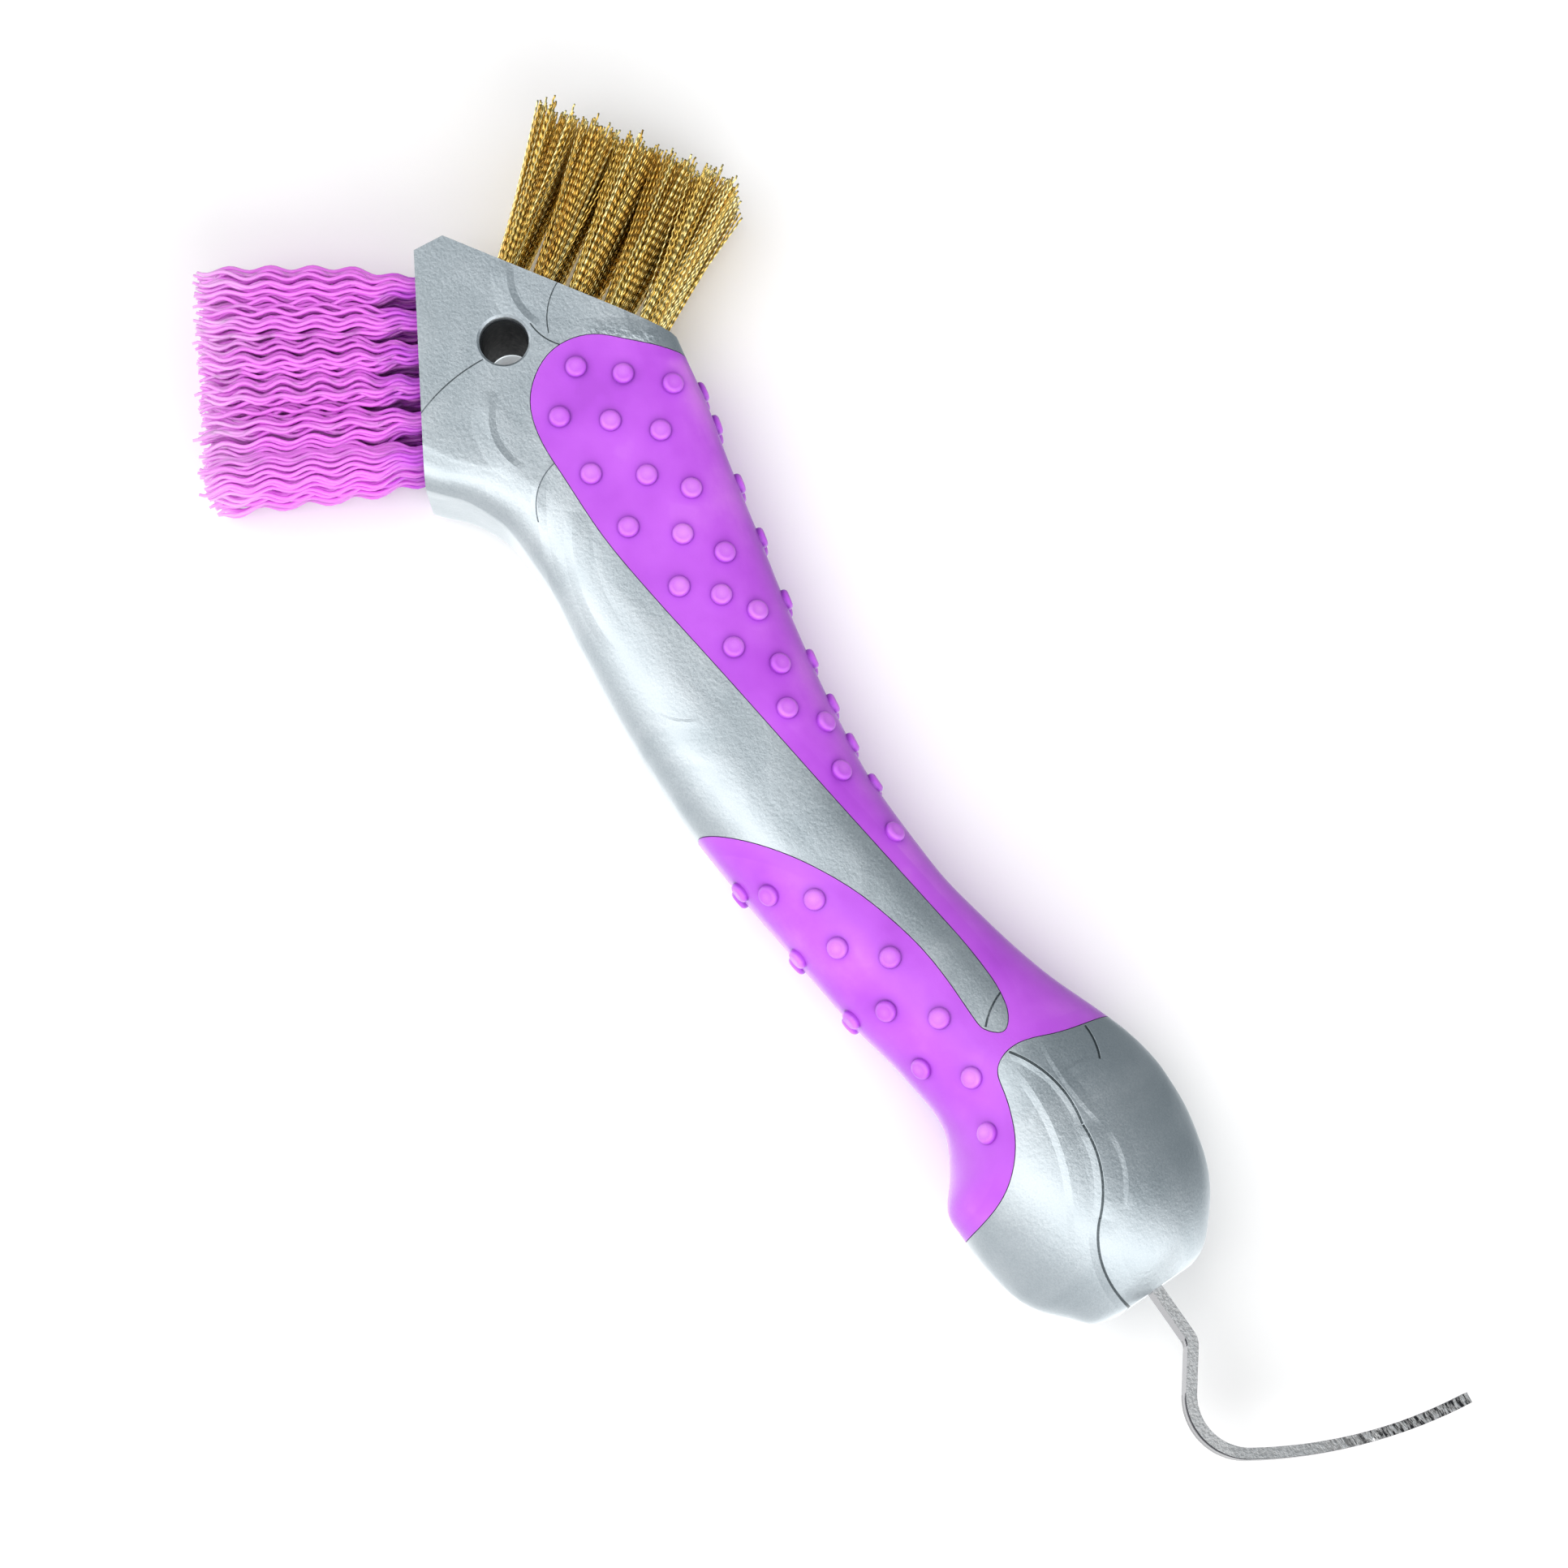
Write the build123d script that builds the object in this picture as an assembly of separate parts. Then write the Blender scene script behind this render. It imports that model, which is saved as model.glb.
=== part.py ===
"""Two-faced cleaning brush with a steel pick on the end of its handle.

Frame, in millimetres: the origin is on the axis of the hanging hole, half way
through the handle's thickness.  +X runs down the handle to the pick, +Y points
to the brass brush, and +Z is square to the flat sides, out of the mould's
parting plane.  The tool is the same above and below that plane.
"""
from build123d import *
import math
import os

# ---- handle: section stations -------------------------------------------------
# Each station is a superellipse in a plane across the handle:
# x, low side y, high side y, half thickness, squareness (2 is an ellipse).
STATIONS = [
    (-26.0, -31.0, 30.0, 10.5, 9.0),
    (-8.0, -29.0, 27.5, 10.5, 9.0),
    (4.0, -26.0, 24.0, 10.5, 8.5),
    (11.0, -22.6, 22.5, 10.5, 7.5),
    (17.0, -17.8, 21.4, 10.5, 6.0),
    (24.0, -15.2, 20.2, 10.4, 4.8),
    (32.0, -15.0, 18.2, 10.3, 4.0),
    (44.0, -16.4, 15.5, 10.4, 3.4),
    (58.0, -17.8, 12.3, 10.7, 3.0),
    (72.0, -18.2, 9.7, 10.9, 2.8),
    (86.0, -17.5, 8.1, 10.7, 2.6),
    (100.0, -16.1, 8.5, 10.4, 2.5),
    (112.0, -14.8, 10.4, 10.3, 2.4),
    (122.0, -13.0, 12.8, 10.8, 2.3),
    (131.0, -12.2, 16.0, 12.2, 2.2),
    (136.0, -14.0, 17.7, 13.2, 2.1),
    (140.0, -16.7, 18.5, 14.0, 2.1),
    (143.0, -19.0, 18.8, 14.4, 2.05),
    (148.0, -19.3, 18.6, 14.7, 2.05),
    (154.0, -18.8, 17.5, 14.5, 2.0),
    (159.0, -17.7, 15.8, 13.5, 2.0),
    (163.0, -15.4, 13.4, 11.7, 2.0),
    (166.0, -12.5, 10.7, 9.4, 2.0),
    (169.0, -7.1, 5.8, 5.9, 2.0),
]
SECTION_POINTS = 40
SECTION_COUNT = 61      # evenly spaced sections that the handle is lofted through
END_STEEPNESS = 1.3     # how much steeper the ball is at its flat end than just before it
HEAD_SKIN = 1.8
GRIP_THICKNESS = 1.6
HANDLE_SKIN = 1.2       # silver skin that is left under the grip
FLAT_SKIN_X = (4.0, 9.0)       # the skin thickens to carry the grip between these, on the flat sides
EDGE_SKIN_X = (12.0, 24.0)     # and between these on the narrow edges
END_SKIN = 3.0
LAYER_GAP = 0.05        # room between one moulded layer and the next
SEAM_GAP = 0.12         # room round the edge of the grip, where it shows as a fine line
SEAM_SAMPLES = 24

# ---- head: the two brush faces and the flat between them ----------------------
NYLON_FACE_START = (-19.2, -3.3)
NYLON_FACE_ANGLE = -31.1
BRASS_FACE_START = (-18.7, 1.5)
BRASS_FACE_ANGLE = 32.5
CUTTER = 120.0
REACH = 60.0            # how far a cutting outline goes beyond the tool

# ---- hanging hole --------------------------------------------------------------
HOLE_RIM_R = 3.7
HOLE_CORE_R = 3.45
HOLE_RIM_CHAMFER = 0.35
RIM_REACH = 2.0

# ---- tufts ---------------------------------------------------------------------
TUFT_R = 2.15
ROW_PITCH = 5.1
ROWS = 3
NYLON_COLUMNS = 6
NYLON_FIRST = 4.3
NYLON_PITCH = 5.2
NYLON_LENGTH = 32.6
NYLON_DEPTH = 5.6
NYLON_TIP_R = 2.5
BRASS_COLUMNS = 5
BRASS_FIRST = 9.7
BRASS_PITCH = 5.8
BRASS_LENGTH = 25.0
BRASS_DEPTH = 5.0
BRASS_TIP_R = 2.6
FLARE_PART = 0.45       # part of the free length over which a tuft widens
STAPLE_THICKNESS = 0.4
STAPLE_HEIGHT = 1.7
STAPLE_LENGTH = 2 * TUFT_R + 0.9
STAPLE_UP = 0.8         # height of the staple above the bottom of its hole

# ---- grip ----------------------------------------------------------------------
NUB_R = 1.6
NUB_HEIGHT = 0.9
NUB_ROOT = 0.9
NUB_EDGE_R = 0.7
NUB_BATCH = 6           # nubs joined to the grip at a time, which keeps its surface whole
# Nubs on the flat side, in plan: the long strip's rows, then the short patch's.
TOP_NUBS = [
    (9.5, 6.5), (14.3, 11.7), (19.6, 17.0),
    (14.5, 0.2), (19.2, 6.1), (24.6, 11.4),
    (24.3, -0.8), (29.1, 5.9), (34.4, 10.2),
    (34.1, -0.8), (39.5, 5.2), (45.2, 8.8),
    (45.8, 0.3), (50.3, 4.7), (55.1, 7.8),
    (57.9, 1.7), (63.6, 6.0),
    (69.8, 3.0), (74.3, 6.7),
    (81.7, 4.4), (93.4, 5.7),
    (90.7, -14.6), (95.3, -9.7),
    (102.9, -10.9), (108.5, -5.6),
    (114.4, -10.3), (119.8, -4.8),
    (124.0, -10.7), (129.5, -5.9),
    (137.4, -8.7),
]
SIDE_NUB_Z = 3.0
HIGH_SIDE_NUBS = [21.4, 26.8, 36.2, 44.9, 54.8, 64.4, 71.7, 78.2, 85.1]
LOW_SIDE_NUBS = [87.3, 100.2, 112.0]

# ---- pick ----------------------------------------------------------------------
PICK_THICKNESS = 1.6
PICK_WIDTH = 7.5
PICK_TIP_WIDTH = 5.2
TANG_START_X = 141.0
PICK_Y = -0.7
FIRST_BEND_X = 178.0
FIRST_BEND_R = 2.5
SWEEP_START = (184.0, -5.3)
SWEEP_MIDDLE = (189.9, -6.9)
SWEEP_END = (195.9, -3.1)
TIP_MIDDLE = (202.9, 10.6)
PICK_TIP = (207.1, 27.3)
TANG_HOLE_R = 1.6
TANG_HOLES_X = (148.0, 158.0)


def slope_at(index, item):
    """Slope of one station value along the handle, with no overshoot."""
    if index == 0:
        return 0.0
    if index == len(STATIONS) - 1:
        before, here = STATIONS[index - 1:]
        return END_STEEPNESS * (here[item] - before[item]) / (here[0] - before[0])
    before, here, after = STATIONS[index - 1:index + 2]
    left = (here[item] - before[item]) / (here[0] - before[0])
    right = (after[item] - here[item]) / (after[0] - here[0])
    if left * right <= 0:
        return 0.0
    return 2 * left * right / (left + right)


def station_at(x):
    """The station values at any x, by a smooth curve through the stations."""
    index = max(i for i in range(len(STATIONS) - 1) if STATIONS[i][0] <= x)
    start, end = STATIONS[index], STATIONS[index + 1]
    span = end[0] - start[0]
    t = (x - start[0]) / span
    values = [x]
    for item in range(1, 5):
        rise = span * slope_at(index, item)
        run_out = span * slope_at(index + 1, item)
        values.append(
            start[item] * (2 * t ** 3 - 3 * t ** 2 + 1) + rise * (t ** 3 - 2 * t ** 2 + t)
            + end[item] * (3 * t ** 2 - 2 * t ** 3) + run_out * (t ** 3 - t ** 2)
        )
    return values


def section(x, edge_inset, flat_inset):
    """One closed superellipse across the handle, moved in by two insets."""
    x, low, high, half, power = station_at(x)
    centre = (low + high) / 2
    half_width = (high - low) / 2 - edge_inset
    half_height = half - flat_inset
    points = []
    for i in range(SECTION_POINTS):
        turn = 2 * math.pi * i / SECTION_POINTS
        across, up = math.cos(turn), math.sin(turn)
        y = centre + half_width * math.copysign(abs(across) ** (2 / power), across)
        z = half_height * math.copysign(abs(up) ** (2 / power), up)
        points.append((x, y, z))
    knots = [i / SECTION_POINTS for i in range(SECTION_POINTS + 1)]
    edge = Edge.make_spline(points, periodic=True, parameters=knots)
    return Wire([edge])


def handle_solid(insets_at):
    """The handle lofted through even sections, less the two insets that insets_at(x) gives."""
    start, end = STATIONS[0][0], STATIONS[-1][0]
    places = [start + (end - start) * i / (SECTION_COUNT - 1) for i in range(SECTION_COUNT)]
    return Solid.make_loft([section(x, *insets_at(x)) for x in places])


def face_frame(start, angle, outward):
    """Unit vectors along a brush face and out of it, in plan."""
    along = Vector(math.cos(math.radians(angle)), math.sin(math.radians(angle)))
    out = Vector(-along.Y, along.X) * outward
    return Vector(*start), along, out


def outside_of(start, along, out, inset=0.0):
    """A block that covers everything outside one flat face."""
    plane = Plane(origin=start - out * inset, x_dir=along, z_dir=out)
    block = Box(CUTTER, CUTTER, CUTTER, align=(Align.CENTER, Align.CENTER, Align.MIN))
    return plane * block


NYLON_FACE = face_frame(NYLON_FACE_START, NYLON_FACE_ANGLE, -1)
BRASS_FACE = face_frame(BRASS_FACE_START, BRASS_FACE_ANGLE, 1)


def cut_apex(solid, inset):
    """Cut the narrow flat between the two brush faces."""
    start = Vector(*NYLON_FACE_START)
    along = (Vector(*BRASS_FACE_START) - start).normalized()
    out = Vector(-along.Y, along.X)
    return solid - outside_of(start, along, out, inset)


def cut_faces(solid):
    """Cut the two brush faces."""
    solid = solid - outside_of(*NYLON_FACE)
    return solid - outside_of(*BRASS_FACE)


def moved_left(curves, gap):
    """The same run of curves, each moved to the left of its own direction by the gap."""
    if gap == 0:
        return curves
    moved = []
    for curve in curves:
        points = []
        for i in range(SEAM_SAMPLES + 1):
            ahead = curve % (i / SEAM_SAMPLES)
            points.append(curve @ (i / SEAM_SAMPLES) + Vector(-ahead.Y, ahead.X) * gap)
        moved.append(Spline(*points))
    return moved


def region(curves, far_x):
    """The face between a run of curves across the tool and a far end."""
    start, end = curves[0] @ 0, curves[-1] @ 1
    corners = [end, (end.X, -REACH), (far_x, -REACH), (far_x, REACH), (start.X, REACH), start]
    back = Polyline(*corners)
    return make_face(Wire([edge for curve in [*curves, back] for edge in curve.edges()]))


def head_region(gap=0.0):
    """Plan outline of the visible silver head and its long tongue, grown by the gap."""
    nose = Spline(
        (19.0, 27.0), (16.4, 21.4), (13.0, 18.1), (10.0, 15.1), (7.0, 12.0), (5.4, 8.4), (5.3, 4.8),
        (7.0, 0.9), (10.0, -2.1), (13.5, -3.6), (20.0, -4.4),
    )
    upper = Spline(
        (20.0, -4.4), (32.0, -4.7), (44.0, -3.8), (59.0, -2.0), (77.0, 0.1), (95.0, 2.4),
        (110.0, 4.3), (118.0, 4.8),
        tangents=[nose % 1, (1.0, 0.02)],
    )
    tip = Spline(
        (118.0, 4.8), (122.6, 4.4), (125.5, 3.2), (126.6, 1.6), (125.3, -0.1), (122.0, -0.7),
        tangents=[upper % 1, (-1.0, 0.02)],
    )
    lower = Spline(
        (122.0, -0.7), (116.0, -0.6), (110.0, -1.0), (104.0, -2.2), (98.0, -4.0), (92.0, -6.7),
        (86.0, -10.3), (80.0, -15.1), (73.0, -24.0),
        tangents=[tip % 1, (-0.5, -0.87)],
    )
    return region(moved_left([nose, upper, tip, lower], gap), -REACH)


def ball_region(gap=0.0):
    """Plan outline of the silver ball end, grown by the gap."""
    edge = Spline(
        (133.8, 24.0), (132.7, 15.2), (131.0, 7.2), (129.3, 1.4), (130.7, -2.2), (134.0, -3.4),
        (137.0, -4.4), (140.0, -5.8), (143.0, -8.0), (146.0, -11.7), (147.8, -18.0), (148.3, -26.0),
    )
    return region(moved_left([edge], -gap), 4 * REACH)


def grip_space(gap, inset):
    """The room that the grip is moulded into: its plan, less the plastic inside it."""
    length = STATIONS[-1][0] - STATIONS[0][0]
    middle = (STATIONS[-1][0] + STATIONS[0][0]) / 2
    plan = Pos(middle, 0) * Rectangle(length + 20, CUTTER * 0.8)
    plan = plan - head_region(gap) - ball_region(gap)
    return extrude(plan, amount=CUTTER / 4, both=True) - handle_solid(lambda x: (inset, inset))


def nub(point, normal):
    """One round nub with a soft edge, standing on the grip's surface."""
    button = Cylinder(NUB_R, NUB_ROOT + NUB_HEIGHT, align=(Align.CENTER, Align.CENTER, Align.MIN))
    top = button.edges().sort_by(Axis.Z)[-1]
    button = fillet(top, NUB_EDGE_R)
    seat = Plane(origin=point - normal * NUB_ROOT, z_dir=normal)
    return seat * button


def grip_nubs(outer):
    """All nubs above the parting plane, and their mirror images below it."""
    nubs = []
    for x, y in TOP_NUBS:
        point, normal = outer.find_intersection_points(Axis((x, y, 60), (0, 0, -1)))[0]
        nubs.append(nub(point, normal))
    for side, places in ((1, HIGH_SIDE_NUBS), (-1, LOW_SIDE_NUBS)):
        for x in places:
            ray = Axis((x, 60 * side, SIDE_NUB_Z), (0, -side, 0))
            point, normal = outer.find_intersection_points(ray)[0]
            nubs.append(nub(point, normal))
    return nubs + [mirror(n, about=Plane.XY) for n in nubs]


def tuft(depth, length, tip_r):
    """A bundle of bristles along +Z, with its root end at -depth."""
    flare = length * FLARE_PART
    profile = Polyline(
        (0, 0, -depth), (TUFT_R, 0, -depth), (TUFT_R, 0, 0),
        (tip_r, 0, flare), (tip_r, 0, length), (0, 0, length), (0, 0, -depth),
    )
    return revolve(make_face(profile), axis=Axis.Z)


def staple(depth):
    """The flat wire that holds a tuft's folded end at the bottom of its hole."""
    rest = (Align.CENTER, Align.CENTER, Align.MIN)
    blade = Box(STAPLE_LENGTH, STAPLE_THICKNESS, STAPLE_HEIGHT, align=rest)
    return Pos(0, 0, STAPLE_UP - depth) * blade


def brush(face, first, pitch, columns, depth, length, tip_r):
    """The tufts of one brush by row and column, and all of its staples."""
    start, along, out = face
    tufts = {}
    staples = []
    for row in range(ROWS):
        z = (row - (ROWS - 1) / 2) * ROW_PITCH
        for column in range(columns):
            centre = start + along * (first + column * pitch) + Vector(0, 0, z)
            place = Plane(origin=centre, x_dir=along, z_dir=out)
            wire = place * staple(depth)
            staples.append(wire)
            tufts[(row + 1, column + 1)] = place * tuft(depth, length, tip_r) - wire
    return tufts, staples


def pick_strip():
    """The bent steel strip, with a holed tang that is held in the handle."""
    straight = Line((TANG_START_X, PICK_Y), (FIRST_BEND_X, PICK_Y))
    slope = Line((FIRST_BEND_X, PICK_Y), SWEEP_START)
    corner = Wire([straight, slope])
    bend_at = corner.vertices().sort_by_distance((FIRST_BEND_X, PICK_Y, 0))[0]
    bent = corner.fillet_2d(FIRST_BEND_R, [bend_at])
    sweep_arc = ThreePointArc(SWEEP_START, SWEEP_MIDDLE, SWEEP_END)
    tip_arc = ThreePointArc(SWEEP_END, TIP_MIDDLE, PICK_TIP)
    outline = trace([*bent.edges(), sweep_arc, tip_arc], PICK_THICKNESS)
    strip = extrude(outline, amount=PICK_WIDTH / 2, both=True)
    # The strip narrows evenly from the sweep to the tip, as seen from its side.
    low_y, high_y = SWEEP_START[1], PICK_TIP[1] + 2
    side = Polyline(
        (0, low_y, PICK_WIDTH / 2), (0, low_y, PICK_WIDTH), (0, high_y, PICK_WIDTH),
        (0, high_y, PICK_TIP_WIDTH / 2), (0, low_y, PICK_WIDTH / 2),
    )
    sliver = Pos(SWEEP_END[0] - 12, 0, 0) * extrude(make_face(side), amount=40, dir=(1, 0, 0))
    strip = strip - sliver - mirror(sliver, about=Plane.XY)
    for x in TANG_HOLES_X:
        strip = strip - Pos(x, PICK_Y, 0) * Rot(90, 0, 0) * Cylinder(TANG_HOLE_R, 4 * PICK_THICKNESS)
    return strip


def skin_at(x, start, end):
    """Depth of the core below the outside, where it changes from start to end."""
    share = min(max((x - start) / (end - start), 0.0), 1.0)
    return HEAD_SKIN + (GRIP_THICKNESS + HANDLE_SKIN - HEAD_SKIN) * share


def core_solid(gap):
    """The black core, grown by the gap on every side that the silver skin covers."""
    solid = handle_solid(lambda x: (skin_at(x, *EDGE_SKIN_X) - gap, skin_at(x, *FLAT_SKIN_X) - gap))
    solid = cut_apex(solid, HEAD_SKIN - gap)
    stop = Pos(STATIONS[-1][0] - END_SKIN + gap, 0, 0)
    return solid - stop * Box(CUTTER, CUTTER, CUTTER, align=(Align.MIN, Align.CENTER, Align.CENTER))


def rim_cutter(outer):
    """The hole through both silver skins, with a broken edge on each flat side."""
    top_z = outer.find_intersection_points(Axis((0, 0, 60), (0, 0, -1)))[0][0].Z
    cone = Cone(
        HOLE_RIM_R, HOLE_RIM_R + RIM_REACH, RIM_REACH,
        align=(Align.CENTER, Align.CENTER, Align.MIN),
    )
    upper = Pos(0, 0, top_z - HOLE_RIM_CHAMFER) * cone
    return Cylinder(HOLE_RIM_R, CUTTER) + upper + mirror(upper, about=Plane.XY)


def build():
    """Every piece, by the name of its node."""
    strip = pick_strip()
    nylon, nylon_staples = brush(
        NYLON_FACE, NYLON_FIRST, NYLON_PITCH, NYLON_COLUMNS, NYLON_DEPTH, NYLON_LENGTH, NYLON_TIP_R)
    brass, brass_staples = brush(
        BRASS_FACE, BRASS_FIRST, BRASS_PITCH, BRASS_COLUMNS, BRASS_DEPTH, BRASS_LENGTH, BRASS_TIP_R)
    outer = handle_solid(lambda x: (0.0, 0.0))
    shell = cut_apex(outer, 0.0) - rim_cutter(outer)
    shell = shell - grip_space(0, GRIP_THICKNESS + LAYER_GAP) - core_solid(LAYER_GAP)
    shell = cut_faces(shell) - strip
    core = cut_faces(core_solid(0)) - Cylinder(HOLE_CORE_R, CUTTER) - strip
    core = core - [*nylon.values(), *brass.values(), *nylon_staples, *brass_staples]
    grip = grip_space(SEAM_GAP, GRIP_THICKNESS) & outer
    nubs = grip_nubs(outer)
    for first in range(0, len(nubs), NUB_BATCH):
        grip = grip + nubs[first:first + NUB_BATCH]

    pieces = {"handle_core": core, "handle_shell": shell, "grip_sleeve": grip, "hook_pick": strip}
    for name, tufts in (("nylon_tuft", nylon), ("brass_tuft", brass)):
        for (row, column), solid in tufts.items():
            pieces[f"{name}_{row}_{column}"] = solid
    pieces["nylon_staples"] = Compound(nylon_staples)
    pieces["brass_staples"] = Compound(brass_staples)
    return pieces


os.makedirs("parts", exist_ok=True)
for node, shape in build().items():
    export_step(shape, f"parts/{node}.step")
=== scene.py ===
import math

import bpy
import numpy as np
from mathutils import Matrix, Vector


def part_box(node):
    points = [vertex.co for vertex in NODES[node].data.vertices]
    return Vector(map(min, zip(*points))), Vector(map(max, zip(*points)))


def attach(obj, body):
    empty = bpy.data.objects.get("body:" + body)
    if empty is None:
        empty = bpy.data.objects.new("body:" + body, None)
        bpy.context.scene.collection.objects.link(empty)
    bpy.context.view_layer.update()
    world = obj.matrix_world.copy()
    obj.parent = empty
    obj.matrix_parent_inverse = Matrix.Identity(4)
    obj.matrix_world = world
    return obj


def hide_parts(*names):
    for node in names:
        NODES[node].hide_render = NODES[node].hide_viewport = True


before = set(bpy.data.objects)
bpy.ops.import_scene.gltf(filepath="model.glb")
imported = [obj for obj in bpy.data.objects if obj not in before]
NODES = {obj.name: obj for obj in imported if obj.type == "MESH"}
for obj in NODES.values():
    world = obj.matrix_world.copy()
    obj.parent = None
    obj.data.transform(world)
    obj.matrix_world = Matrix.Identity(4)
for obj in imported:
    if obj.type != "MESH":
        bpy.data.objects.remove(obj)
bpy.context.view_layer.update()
MM = 0.001

# ---- brush faces, as the CAD model has them -----------------------------------
NYLON_FACE_ANGLE = -31.1
BRASS_FACE_ANGLE = 32.5
NYLON_DEPTH = 5.6 * MM          # how far a tuft goes into the head
BRASS_DEPTH = 5.0 * MM
ROWS = 3
NYLON_COLUMNS = 6
BRASS_COLUMNS = 5
TUFT_R = 2.15 * MM
ROOT_START = 1.0 * MM           # how far inside its hole a bristle starts
BRISTLE_SEED = 7

# ---- nylon filament -------------------------------------------------------------
FILAMENT_R = 0.33 * MM
FILAMENTS = 34
FILAMENT_WAVE = 6.5 * MM
FILAMENT_SWING = 0.50 * MM
FILAMENT_STEPS = 44
FILAMENT_SIDES = 6
FILAMENT_LENGTH_VARIES = 0.016
FILAMENT_PHASE = 1.2            # where in its wave a filament starts
FILAMENT_PHASE_VARIES = (0.55, 0.50)    # from tuft to tuft, and within one
FILAMENT_WAVE_VARIES = 0.05
FILAMENT_SWING_RANGE = (0.75, 1.15)
FILAMENT_LEAN_VARIES = 0.45     # turn of the waves out of the XY plane, in radians
FILAMENT_WAVE_START = -0.5 * MM
FILAMENT_WAVE_FULL = 3.5 * MM   # length over which the wave comes up to its swing
ROOT_PINCH = 0.82               # how far the bundle is drawn in where it leaves its hole
NYLON_FLARE = 0.38              # part of its length over which a tuft widens
NYLON_WIDENS = (0.85, 0.70)     # by how much, as shares of its radius along and across the face
NYLON_FAN = 1.5 * MM            # how far the tips of the outer columns lean out
NYLON_ROW_FAN = 0.8             # the same for the outer rows, as a share of that
STRAY_FILAMENTS = 0.08          # share of filaments that stand away from their tuft
STRAY_SPREAD = 1.1 * MM
FILAMENT_SPREAD = 0.20 * MM
FRAY_START = 0.75               # part of the length after which the tips fray
FRAY_SPREAD = 0.60 * MM
TIP_TAPER_START = 0.93
TIP_TAPER = 0.35                # share of its radius that a filament loses at its tip

# ---- brass wire -----------------------------------------------------------------
WIRE_R = 0.155 * MM
WIRES = 84
WIRE_WAVE = 1.28 * MM
WIRE_SWING = 0.075 * MM
WIRE_STEPS = 120
WIRE_SIDES = 4
WIRE_LENGTH_VARIES = 0.028
WIRE_PHASE_SHIFT = 0.8          # between the middle of a tuft and each half of its bundle
WIRE_PHASE_VARIES = 0.65
WIRE_SWING_RANGE = (0.8, 1.3)
WIRE_LEAN = (0.8, 0.6)          # turn of the waves about the wire in radians, and how it varies
WIRE_OVERHANG = 1.02            # mean wire length, of the CAD tuft's
BRASS_LEAN = (-2.0 * MM, 0.9 * MM)      # tip lean of the first and the last column
BRASS_ROW_LEAN = 1.0 * MM       # tip lean of the outer rows
BRASS_WIDENS = (1.10, 0.36)     # as shares of its radius at the root, along and across the face
BRASS_CURVE = 1.15              # power of the distance from the root that the spread grows with
WIRE_PINCH = 0.72               # how far the bundle is drawn in where it leaves its hole
WIRE_SPLIT = 0.12 * MM          # half the room between the two halves of a folded bundle
LOOSE_WIRES = 0.28              # share of wires that stand away from their tuft
LOOSE_SPREAD = 1.05 * MM
WIRE_SPREAD = 0.34 * MM

# ---- pick and grip ----------------------------------------------------------------
PICK_EDGE = 0.26 * MM           # rounding of the pick's sheared edges
PICK_EDGE_ANGLE = 50.0          # corners sharper than this are rounded
PICK_JOIN = 0.001 * MM          # points this close are one, so that the rounding finds the corners
PICK_CUTS = (3 * MM, 14 * MM)   # where the cuts on the sheared faces start and are full, along Y
ROUNDED_BAND = 0.42             # a rounded edge has a normal whose |Z| is within this of 0.5; these edges get painted shade
PAINTED_LIGHT_DEPTH = 2.3 * MM         # the nubs are thicker than this, the rest of the grip is not; the nubs get painted light
PAINTED_SHADE_REACH = 1.4 * MM            # reach of the painted shade in the corners round the nubs

# ---- marks of the moulding on the silver plastic, in mm along and across the tool ---
# Each is an arc through three points, with the width of a line or the reach of a fold.
FOLD_HEIGHT = 0.060             # height of a fold, as a share of its reach
FOLD_EDGE = 0.42                # run of the steep side of a fold, as a share of its reach
LINE_DEPTH = 0.10 * MM
PEEL_HEIGHT = 0.055 * MM        # fine orange peel
FLOW_HEIGHT = 0.22 * MM         # slow waves where the plastic flowed
WRINKLE_HEIGHT = 0.30 * MM
WELD_LINES = [
    (((0.7, -4.1), (0.9, -10.8), (2.1, -15.6)), 0.12),          # hole to the nylon face
    (((0.0, 4.7), (3.0, 5.2), (5.0, 6.3)), 0.12),               # hole to the grip
    (((-3.1, 11.9), (-0.7, 8.4), (1.1, 7.0)), 0.10),            # in from the brass face
    (((19.8, -3.9), (21.4, -8.0), (25.8, -11.2)), 0.10),
    (((121.7, 4.6), (122.9, 2.1), (124.7, -0.1)), 0.20),        # across the tip of the tongue
    (((130.7, 1.2), (136.6, 3.3), (144.2, 2.9)), 0.22),         # the ball's long wave, in three
    (((144.2, 2.9), (151.0, 1.3), (156.5, -2.7)), 0.22),
    (((156.5, -2.7), (162.5, -6.2), (168.8, -5.7)), 0.22),
    (((132.7, 12.0), (135.2, 11.7), (137.8, 10.7)), 0.22),
]
FLOW_FOLDS = [
    (((-9.7, 7.2), (-4.6, 4.6), (0.2, 5.0)), 2.5),
    (((5.8, -5.6), (11.4, -9.7), (18.2, -8.8)), 2.5),
    (((19.8, -3.9), (21.4, -8.0), (25.8, -11.2)), -2.0),
    (((21.6, -8.4), (30.1, -13.4), (41.4, -16.4)), 3.0),
    (((28.5, -7.0), (37.3, -11.5), (48.4, -12.5)), -3.0),
    (((130.7, 1.2), (136.6, 3.3), (144.2, 2.9)), 2.5),
    (((144.2, 2.9), (151.0, 1.3), (156.5, -2.7)), 3.0),
    (((156.5, -2.7), (162.5, -6.2), (168.8, -5.7)), -3.0),
    (((131.0, 5.2), (138.6, 4.6), (145.3, 5.2)), -1.5),
    (((146.3, 5.6), (152.4, 4.7), (157.5, 1.0)), 1.8),
    (((138.5, -0.2), (145.4, -1.6), (157.0, -7.6)), 2.5),
    (((138.9, -1.7), (136.9, 2.9), (137.4, 10.5)), -1.2),
    (((58.2, -13.4), (61.4, -12.0), (64.1, -8.6)), 1.0),
]
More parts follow.
